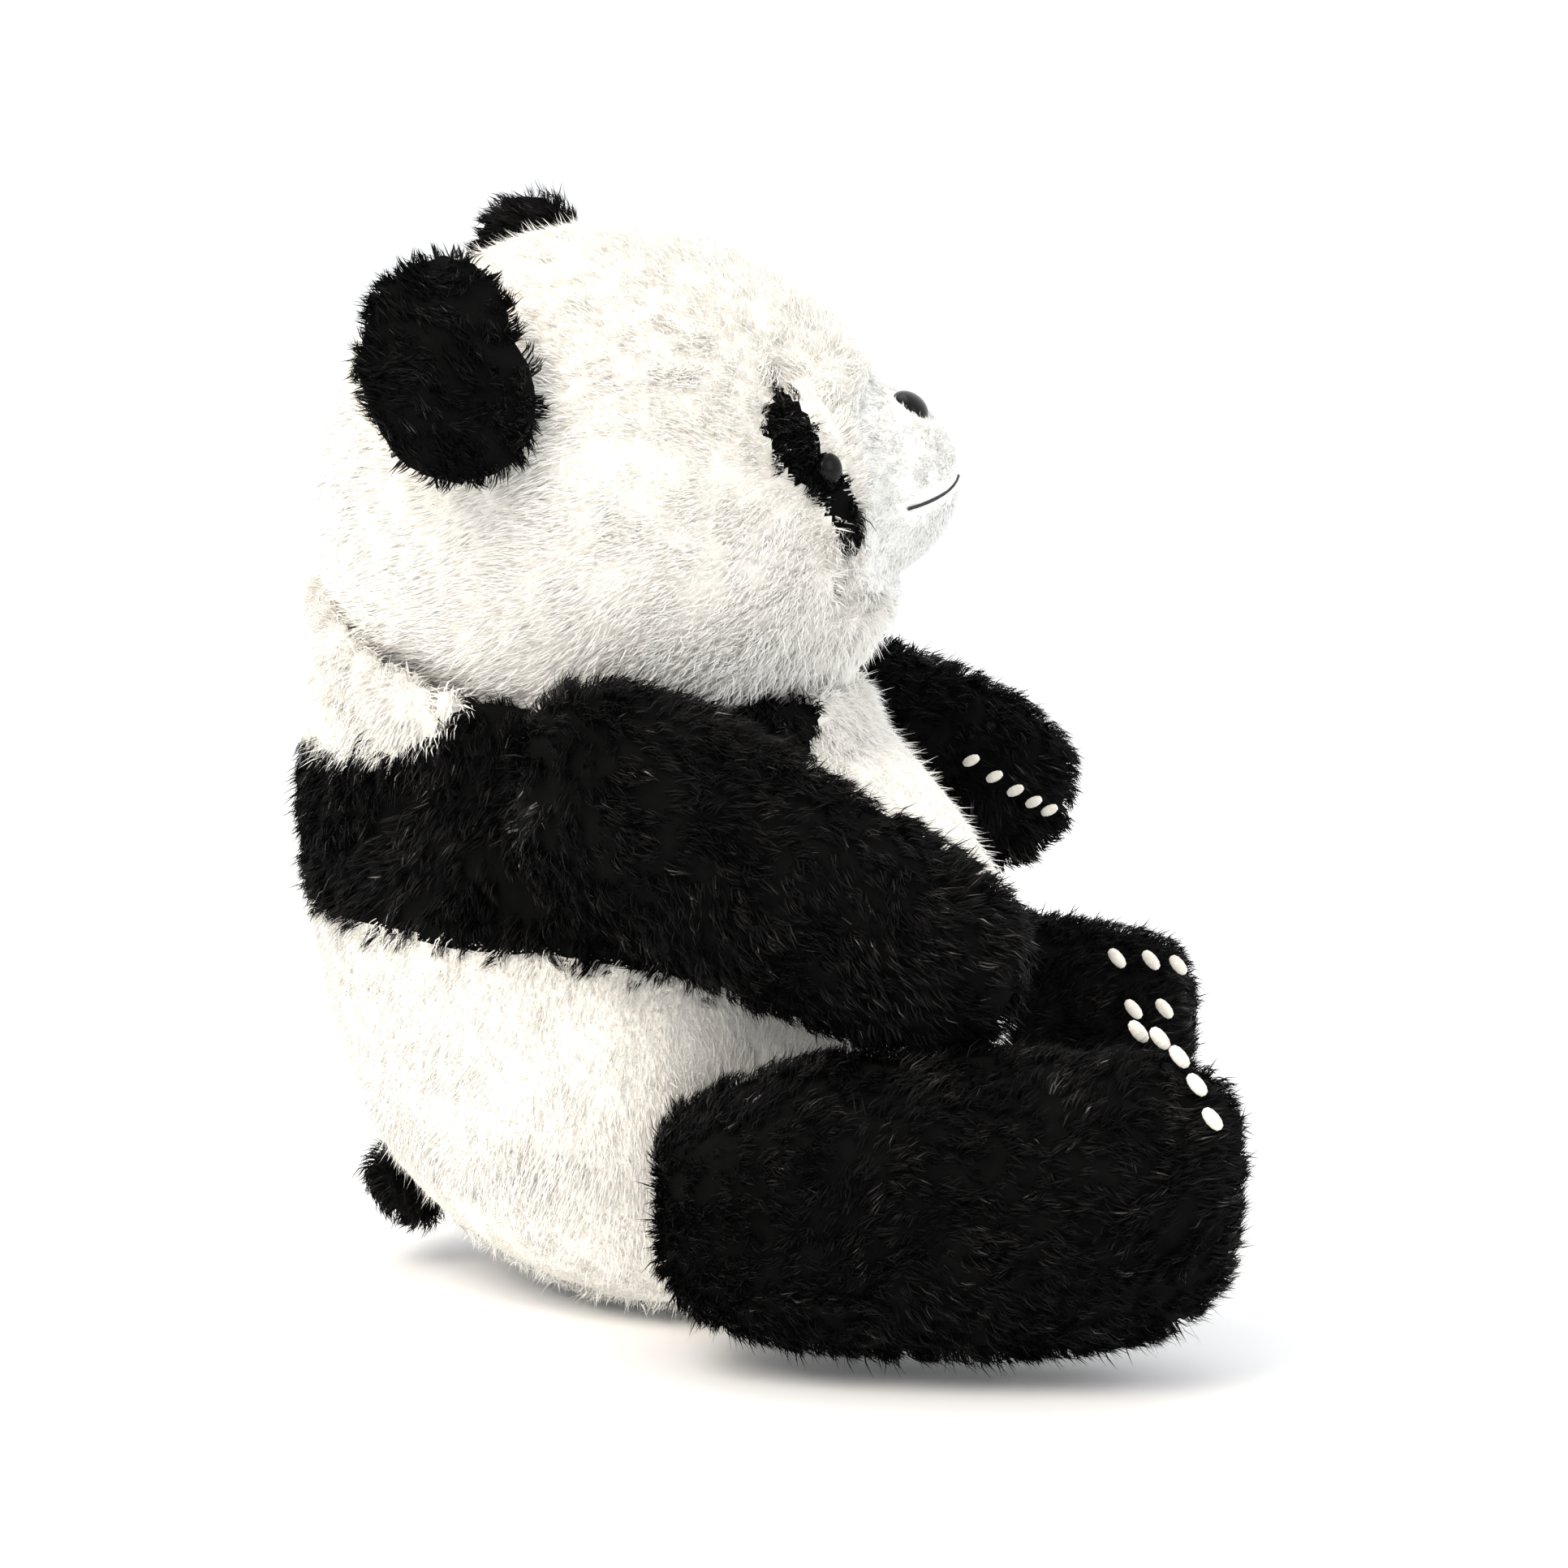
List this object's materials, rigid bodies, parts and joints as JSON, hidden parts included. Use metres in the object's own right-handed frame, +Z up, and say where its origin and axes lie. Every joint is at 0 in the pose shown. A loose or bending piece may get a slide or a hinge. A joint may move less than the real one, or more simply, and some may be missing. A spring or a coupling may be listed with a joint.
{
  "type": "plush panda",
  "caption": "Seated stuffed panda toy sewn from long-pile fabric, with a turning head, soft ears, arms, splayed legs and a stub tail; rests on a flat surface.",
  "frame": {"origin": "centre of the bounding box at the floor it sits on", "axes": "it faces -Y, +Z is up, its right side is -X"},
  "size_m": [0.2818, 0.2868, 0.3239],
  "materials": {
    "white_pile": "dense soft pile",
    "short_white_pile": "short soft pile",
    "black_pile": "dense soft pile with a faint sheen",
    "stuffing": "loose fibre",
    "pellets": "small beads",
    "pouch_cloth": "plain woven",
    "lock_washer": "moulded",
    "black_gloss": "polished",
    "claw": "satin",
    "thread": "twisted thread"
  },
  "bodies": {
    "torso": {"belly_panel": "white_pile", "base_panel": "white_pile", "nape_panel": "white_pile", "body_stuffing": "stuffing", "pellet_pouch": "pouch_cloth", "pellet_fill": "pellets", "back_panel_right": "white_pile", "back_panel_left": "white_pile", "yoke_right": "black_pile", "yoke_left": "black_pile"},
    "tail": {"tail_cover": "black_pile", "tail_stuffing": "stuffing"},
    "neck": {"neck_stuffing": "stuffing"},
    "head": {"crown_gusset": "white_pile", "chin_panel": "white_pile", "muzzle_cover": "short_white_pile", "muzzle_stuffing": "stuffing", "nose": "black_gloss", "nose_washer": "lock_washer", "mouth_stitch": "thread", "head_stuffing": "stuffing", "face_panel_right": "white_pile", "face_panel_left": "white_pile", "head_back_right": "white_pile", "head_back_left": "white_pile", "eye_right": "black_gloss", "eye_left": "black_gloss", "eye_washer_right": "lock_washer", "eye_washer_left": "lock_washer", "eye_patch_right": "black_pile", "eye_patch_left": "black_pile"},
    "ear_right": {"ear_front_right": "black_pile", "ear_back_right": "black_pile"},
    "arm_right": {"arm_outer_right": "black_pile", "arm_inner_right": "black_pile", "arm_stuffing_right": "stuffing", "arm_claws_right": "claw"},
    "leg_right": {"leg_outer_right": "black_pile", "leg_inner_right": "black_pile", "leg_stuffing_right": "stuffing", "foot_sole_right": "black_pile", "leg_claws_right": "claw"},
    "ear_left": {"ear_front_left": "black_pile", "ear_back_left": "black_pile"},
    "arm_left": {"arm_outer_left": "black_pile", "arm_inner_left": "black_pile", "arm_stuffing_left": "stuffing", "arm_claws_left": "claw"},
    "leg_left": {"leg_outer_left": "black_pile", "leg_inner_left": "black_pile", "leg_stuffing_left": "stuffing", "foot_sole_left": "black_pile", "leg_claws_left": "claw"}
  },
  "joints": [
    {"name": "neck_turn", "type": "hinge", "parent": "torso", "child": "neck", "pos_m": [0, 0.05, 0.236], "axis": [0, 0, 1], "range_deg": [-25, 25]},
    {"name": "neck_nod", "type": "hinge", "parent": "neck", "child": "head", "pos_m": [0, 0.05, 0.236], "axis": [1, 0, 0], "range_deg": [-10, 8], "stiffness_Nm_per_rad": 1},
    {"name": "ear_fold_right", "type": "hinge", "parent": "head", "child": "ear_right", "pos_m": [-0.08008, 0.06182, 0.28253], "axis": [0.1879, 0.1033, 0.9767], "range_deg": [-5, 30], "stiffness_Nm_per_rad": 0.05},
    {"name": "ear_fold_left", "type": "hinge", "parent": "head", "child": "ear_left", "pos_m": [0.07282, 0.06182, 0.29322], "axis": [0.322, -0.1033, -0.9411], "range_deg": [-5, 30], "stiffness_Nm_per_rad": 0.05},
    {"name": "arm_swing_right", "type": "hinge", "parent": "torso", "child": "arm_right", "pos_m": [-0.096, 0.034, 0.152], "axis": [-1, 0, 0], "range_deg": [0, 50], "stiffness_Nm_per_rad": 1.2},
    {"name": "arm_swing_left", "type": "hinge", "parent": "torso", "child": "arm_left", "pos_m": [0.094, 0.032, 0.166], "axis": [-1, 0, 0], "range_deg": [-8, 36], "stiffness_Nm_per_rad": 1.2},
    {"name": "leg_splay_right", "type": "hinge", "parent": "torso", "child": "leg_right", "pos_m": [-0.106, -0.008, 0.044], "axis": [0, 0, -1], "range_deg": [-3, 20]},
    {"name": "leg_splay_left", "type": "hinge", "parent": "torso", "child": "leg_left", "pos_m": [0.106, -0.008, 0.044], "axis": [0, 0, 1], "range_deg": [-3, 20]},
    {"name": "tail_flick", "type": "hinge", "parent": "torso", "child": "tail", "pos_m": [0, 0.1195, 0.0385], "axis": [1, 0, 0], "range_deg": [0, 20], "stiffness_Nm_per_rad": 0.05}
  ]
}
